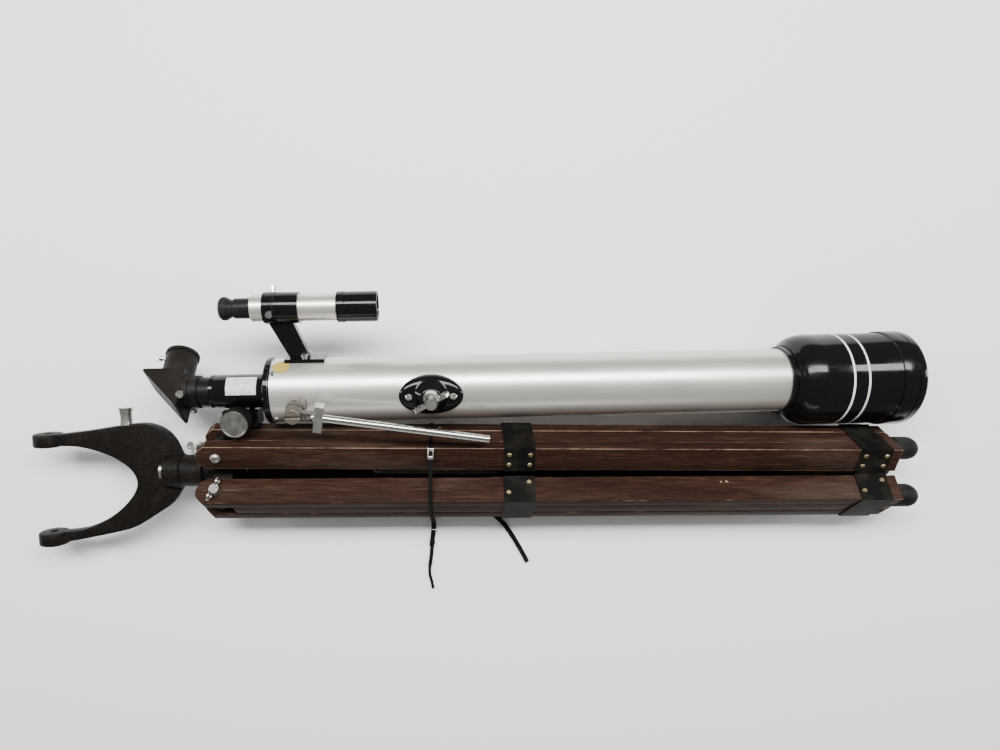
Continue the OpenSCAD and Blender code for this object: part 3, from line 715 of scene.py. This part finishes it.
# Its outline in three curves, and the line where the arms begin to grow thinner
UPPER = [(-268, 18), (-275, 32), (-286, 42), (-303, 48), (-325, 46.5), (-360, 41), (-392, 37)]
INNER = [(-392, 25.5), (-372, 25), (-352, 20.5), (-334, 13), (-319, 1.5), (-313.6, -11), (-318, -24),
         (-332, -39.5), (-350, -51.5), (-370, -59.5), (-392, -62.5)]
LOWER = [(-392, -73.5), (-362, -68), (-334, -62), (-316, -56.5), (-297, -45), (-280, -33), (-268, -16)]
outline = [p for part in (UPPER, INNER, LOWER) for p in
           [tuple(q) for q in catmull([(x, y, 0) for x, y in part], 8)]]
CREASE, HALF_THICK, THINNING = -289.0, 6.5, 0.17
split = next(i for i, p in enumerate(outline) if p[0] <= CREASE)
back = len(outline) - next(i for i, p in enumerate(reversed(outline)) if p[0] <= CREASE)


def on_crease(a, b):
    """Point of the crease between two points of the outline."""
    t = (CREASE - a[0]) / (b[0] - a[0])
    return (CREASE, a[1] + t * (b[1] - a[1]))


ring_of = (list(outline[:split]) + [on_crease(outline[split - 1], outline[split])] + list(outline[split:back])
           + [on_crease(outline[back - 1], outline[back])] + list(outline[back:]))
first, second = split, back + 1
n = len(ring_of)
verts = [FORK @ (Vector((p[0], p[1], side * (HALF_THICK - THINNING * max(0, p[0] - CREASE)))) * MM)
         for side in (-1, 1) for p in ring_of]
faces = [(i, (i + 1) % n, n + (i + 1) % n, n + i) for i in range(n)]
for base in (0, n):
    faces.append(tuple(base + i for i in range(first, second + 1)))
    faces.append(tuple(base + i % n for i in range(second, n + first + 1)))
arms = make("fork_arms", verts, faces, [WRINKLE], "fork", bevel=(1.9, 4), smooth=28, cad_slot="wrinkle_paint")
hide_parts("yoke_fork")


def eye(name, y):
    """Rounded fork end with a through hole along Y."""
    place = FORK @ shift(-403, y, 0) @ turn("Z", 90)
    points = [(-6.5, 3.6), (-6.5, 12.2), (-5.9, 13.5), (-4.8, 14.0), (4.8, 14.0), (5.9, 13.5), (6.5, 12.2),
              (6.5, 3.6), (-6.5, 3.6)]
    return lathe(name, points, place, [WRINKLE], "fork", steps=72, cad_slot="wrinkle_paint")


eye("fork_eye_upper", 31)
eye("fork_eye_lower", -69.5)
lathe("fork_shaft", [(-66, 0), (-66, 9), (-23.5, 9), (-23.5, 0)], TRIPOD, [DULL], "fork",
      steps=64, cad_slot="wrinkle_paint")


# ---- Focus knobs -----------------------------------------------------------------

KNOB = SCOPE @ shift(PINION_X, PINION_Y, 0) @ turn("Y", -90)
for side, word in ((0, "upper"), (180, "lower")):
    place = KNOB @ turn("Y", side)
    grip = lathe(f"focus_knob_{word}", [
        (13.5, 2.5), (13.5, 11.8), (14.2, 12.4), (15.4, 13.6, 0, 1), (16.4, 14.0, 0, 1), (29.6, 14.0, 0, 1),
        (30.6, 13.7, 0, 1), (31.4, 12.8), (31.9, 12.6), (31.9, 0)],
        place, [GRIP], "focus_shaft", steps=288, ridges=(48, 0.45), smooth=50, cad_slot="knob_metal")
    if side == 0:
        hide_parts("focus_knobs")
    lathe(f"focus_knob_face_{word}", [
        (31.6, 12.9), (32.5, 12.7), (32.5, 11.6), (32.1, 11.2), (32.1, 0)],
        place, [KNOB_FACE], "focus_shaft", steps=96, smooth=30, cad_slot="knob_metal")


# ---- Turned parts, finer than the CAD meshes -------------------------------------------

shield = lathe("dew_shield_shell", [
    (331, 33.5), (331, 34.6), (331.5, 35.2), (332.6, 36.0), (334.2, 37.8), (336.4, 40.0), (339.4, 42.0),
    (343, 43.5), (347, 44.4), (351, 44.9), (355, SHIELD_R), (424.4, SHIELD_R), (424.6, 45.1),
    (425.0, 46.3), (425.4, 46.5), (438.2, 46.5), (438.5, 45.9), (439.3, 45.9), (439.6, 46.5),
    (444.4, 46.5), (445.6, 46.2), (446.6, 45.5), (447, 44.6), (447, 43.3), (446.8, 43), (353, 43),
    (347.5, 41.6), (347.2, 33.5), (331, 33.5)],
    SCOPE, [GLOSS], "dew_shield", steps=224, smooth=32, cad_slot="gloss_black")
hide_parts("dew_shield")
tube = lathe("main_tube_shell", [
    (TUBE_BACK, TUBE_INNER_R), (TUBE_BACK, TUBE_R), (TUBE_FRONT, TUBE_R), (TUBE_FRONT, TUBE_INNER_R),
    (TUBE_BACK, TUBE_INNER_R)], SCOPE, [SILVER], "telescope", steps=192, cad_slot="silver_paint")
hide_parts("main_tube")
finder_shell = lathe("finder_tube_shell", [
    (-186.3, 11.8), (-186.3, 12.4), (-185.9, 12.8), (-175.1, 12.8), (-100, 12.8), (-100, 11.8),
    (-186.3, 11.8)], FINDER, [SILVER], "telescope", steps=128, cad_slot="silver_paint")
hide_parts("finder_tube")
hood = lathe("finder_hood_shell", [
    (-106, 12.85), (-106, 14.0), (-105.6, 14.5), (-104.8, 14.8), (-98.6, 14.8), (-98, 14.4), (-96.6, 14.2),
    (-95.6, 14.4), (-70, 14.4), (-68.2, 14.2), (-67.5, 13.6), (-67.5, 12.6), (-68, 12.4), (-99.9, 12.4),
    (-99.9, 12.85), (-106, 12.85)], FINDER, [GLOSS], "telescope", steps=128, smooth=30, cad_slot="gloss_black")
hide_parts("finder_hood")
# Slotted below, where the rack slides out
lathe("focuser_sleeve", [
    (-231.5, 14.35), (-231.5, 16.1), (-231.1, 16.55), (-228.6, 16.55), (-228.3, 16.35),
    (-227.9, 16.55), (-178, 16.55), (-177.2, 16.9), (-177, 17.6), (-176.8, 17.6)],
    SCOPE, [GLOSS], "telescope", steps=128, slot=19.0, smooth=30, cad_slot="gloss_black")


SADDLE_TOP = 40.85


def saddle(name, side):
    """Glossy oval saddle with a smooth domed boss, laid on the tube."""
    place = SCOPE @ turn("X", side)
    rings, around = 26, 96
    verts, faces = [], []
    for i in range(rings + 1):
        s = i / rings
        for j in range(around):
            a = 2 * math.pi * j / around
            x, y = SADDLE_HALF_LENGTH * s * math.cos(a), SADDLE_HALF_WIDTH * s * math.sin(a)
            rho = math.hypot(x, y * 1.12)
            dome = min(1, max(0, (17.5 - rho) / 8.5))
            lift = 3.5 * (1 - s ** 9) ** 0.5 + 6.2 * dome * dome * (3 - 2 * dome)
            z = math.sqrt((TUBE_R + lift) ** 2 - y * y)
            verts.append(place @ (Vector((SADDLE_X + x, y, min(z, SADDLE_TOP))) * MM))
    for i in range(rings):
        for j in range(around):
            k = (j + 1) % around
            faces.append((i * around + j, i * around + k, (i + 1) * around + k, (i + 1) * around + j))
    base = len(verts)
    for j in range(around):
        a = 2 * math.pi * j / around
        x, y = SADDLE_HALF_LENGTH * math.cos(a), SADDLE_HALF_WIDTH * math.sin(a)
        z = math.sqrt((TUBE_R - 0.4) ** 2 - y * y)
        verts.append(place @ (Vector((SADDLE_X + x, y, z)) * MM))
    for j in range(around):
        k = (j + 1) % around
        faces.append((rings * around + j, rings * around + k, base + k, base + j))
    return make(name, verts, faces, [GLOSS], "telescope", smooth=50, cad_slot="gloss_black")


upper_saddle = saddle("trunnion_saddle_upper", 0)
saddle("trunnion_saddle_lower", 180)
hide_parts("trunnion_plates")


# ---- Details on the telescope ------------------------------------------------------

for x, word in ((377.5, "rear"), (391.7, "front")):
    lathe(f"shield_ring_{word}", [
        (x - 1, SHIELD_R - 0.2), (x - 0.95, SHIELD_R + 0.08), (x + 0.95, SHIELD_R + 0.08),
        (x + 1, SHIELD_R - 0.2)], SCOPE, [WHITE], "dew_shield", steps=160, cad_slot="gloss_black")
lathe("tube_rear_line", [
    (TUBE_BACK + 0.1, TUBE_R - 0.1), (TUBE_BACK + 0.2, TUBE_R + 0.5), (TUBE_BACK + 1.6, TUBE_R + 0.5),
    (TUBE_BACK + 1.8, TUBE_R - 0.1)], SCOPE, [GLOSS], "telescope", steps=128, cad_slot="gloss_black")
lathe("tube_front_line", [
    (330.4, TUBE_R + 2.25), (330.5, TUBE_R + 2.6), (330.9, TUBE_R + 2.6), (330.95, TUBE_R + 2.2)],
    SCOPE, [GLOSS], "telescope", steps=128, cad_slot="gloss_black")


def patch(name, place, radius, x0, x1, a0, a1, mat, body, slot_name, lift=0.12, round_off=False, steps=24):
    """Thin label that follows a tube, as a rectangle or an oval."""
    verts, faces = [], []
    for i in range(steps + 1):
        for j in range(steps + 1):
            u, v = -1 + 2 * i / steps, -1 + 2 * j / steps
            if round_off:
                u, v = u * math.sqrt(1 - v * v / 2), v * math.sqrt(1 - u * u / 2)
            x = (x0 + x1) / 2 + u * (x1 - x0) / 2
            a = math.radians((a0 + a1) / 2 + v * (a1 - a0) / 2)
            y, z = (radius + lift) * math.cos(a), (radius + lift) * math.sin(a)
            verts.append(place @ (Vector((x, y, z)) * MM))
    for i in range(steps):
        for j in range(steps):
            faces.append((i * (steps + 1) + j, i * (steps + 1) + j + 1, (i + 1) * (steps + 1) + j + 1,
                          (i + 1) * (steps + 1) + j))
    obj = make(name, verts, faces, [mat], body, smooth=180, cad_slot=slot_name)
    for poly in obj.data.polygons:
        radial = place.inverted() @ poly.center
        outward = place.to_3x3() @ Vector((0, radial.y, radial.z))
        if poly.normal.dot(outward) < 0:
            obj.data.flip_normals()
            break
    return obj


patch("gold_sticker", SCOPE, TUBE_R, -168, -152, 14, 43, GOLD, "telescope", "silver_paint", round_off=True)
patch("focuser_label", SCOPE, 16.5, -215, -186, 22, 88, PAPER, "telescope", "gloss_black")

# Knurled sleeve and slotted bronze head of the rod stud
SLEEVE = STUD @ turn("Y", -90)
lathe("stud_sleeve", [(33, 8.6), (33.2, 9.1, 0, 1), (45.2, 9.1, 0, 1), (46.2, 8.4), (46.4, 7.6)],
      SLEEVE, [KNURLED], "telescope", steps=240, ridges=(30, 0.8), smooth=50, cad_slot="stud_metal")
lathe("stud_head", [(47, 7.5), (47.3, 7.95, 0, 1), (57.8, 7.95, 0, 1), (58.7, 7.4), (58.9, 6.4)],
      SLEEVE, [KNURLED], "telescope", steps=240, ridges=(30, 0.7), smooth=50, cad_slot="stud_metal")
FACE_R = 7.2
for side in (-1, 1):
    half = [(FACE_R * math.cos(math.radians(a)), side * FACE_R * math.sin(math.radians(a)))
            for a in range(8, 173, 6)]
    prism(f"stud_face_{'a' if side < 0 else 'b'}", half, 59.25, 59.5, STUD, [BRONZE], "telescope", plane="XY",
          bevel=(0.1, 1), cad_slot="stud_metal")

# Grip ring of the finder's eyepiece, ridges of its bracket and rings of its hood
RIB_X, RIB_PITCH = -173.1, 1.5
lathe("finder_grip", [(-214.1, 10.4), (-213.7, 11.1, 0, 1), (-209.7, 11.1, 0, 1), (-209.3, 10.4)], FINDER,
      [PLASTIC], "finder_eyepiece", steps=240, ridges=(40, 0.5), smooth=50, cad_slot="matte_black_plastic")
for i in range(7):
    x = RIB_X + i * RIB_PITCH
    lathe(f"finder_rib_{i + 1}", [(x - 0.35, 14.7), (x, 15.15), (x + 0.35, 14.7)], FINDER, [GLOSS],
          "telescope", steps=96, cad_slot="gloss_black")
for i, x in enumerate((-100.5, -92, -72)):
    crest = 14.95 if i == 0 else 14.6
    lathe(f"hood_line_{i + 1}", [(x - 0.4, 14.5), (x, crest), (x + 0.4, 14.5)], FINDER, [GLOSS],
          "telescope", steps=96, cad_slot="gloss_black")


# ---- Floor and light ---------------------------------------------------------------

FLOOR_HALF, FLOOR_DROP = 6, 0.0004

floor_mesh = bpy.data.meshes.new("floor")
floor_mesh.from_pydata([(x * FLOOR_HALF, y * FLOOR_HALF, 0) for x, y in ((-1, -1), (1, -1), (1, 1), (-1, 1))],
                       [], [(0, 1, 2, 3)])
floor = bpy.data.objects.new("floor", floor_mesh)
bpy.context.scene.collection.objects.link(floor)
floor.location.z = -FLOOR_DROP
paper = Mat("pale_floor", (0.93, 0.93, 0.925), 0.9, spec=0.1)
floor_mesh.materials.append(paper.mat)

world = bpy.data.worlds.new("studio")
world.use_nodes = True
world.node_tree.nodes["Background"].inputs["Color"].default_value = (1.0, 0.99, 0.975, 1)
world.node_tree.nodes["Background"].inputs["Strength"].default_value = 0.24
bpy.context.scene.world = world


def area(name, place, aim, size, power, color=(1, 1, 1)):
    data = bpy.data.lights.new(name, "AREA")
    data.shape = "RECTANGLE"
    data.size, data.size_y = size
    data.energy = power
    data.color = color
    lamp = bpy.data.objects.new(name, data)
    bpy.context.scene.collection.objects.link(lamp)
    lamp.location = place
    lamp.rotation_euler = (Vector(aim) - Vector(place)).to_track_quat("-Z", "Y").to_euler()
    return lamp


area("overhead", (0.0, 0.62, 1.35), (0, 0.05, 0), (2.0, 0.36), 58, (1, 0.985, 0.96))
area("side_right", (1.7, 0.2, 0.55), (0.3, 0.05, 0.0), (0.25, 0.9), 11)
area("side_left", (-1.7, 0.4, 0.6), (-0.2, 0.05, 0.0), (0.25, 0.9), 11)
area("front_fill", (0.0, -1.6, 0.6), (0, 0, 0.0), (1.8, 0.25), 2.5)
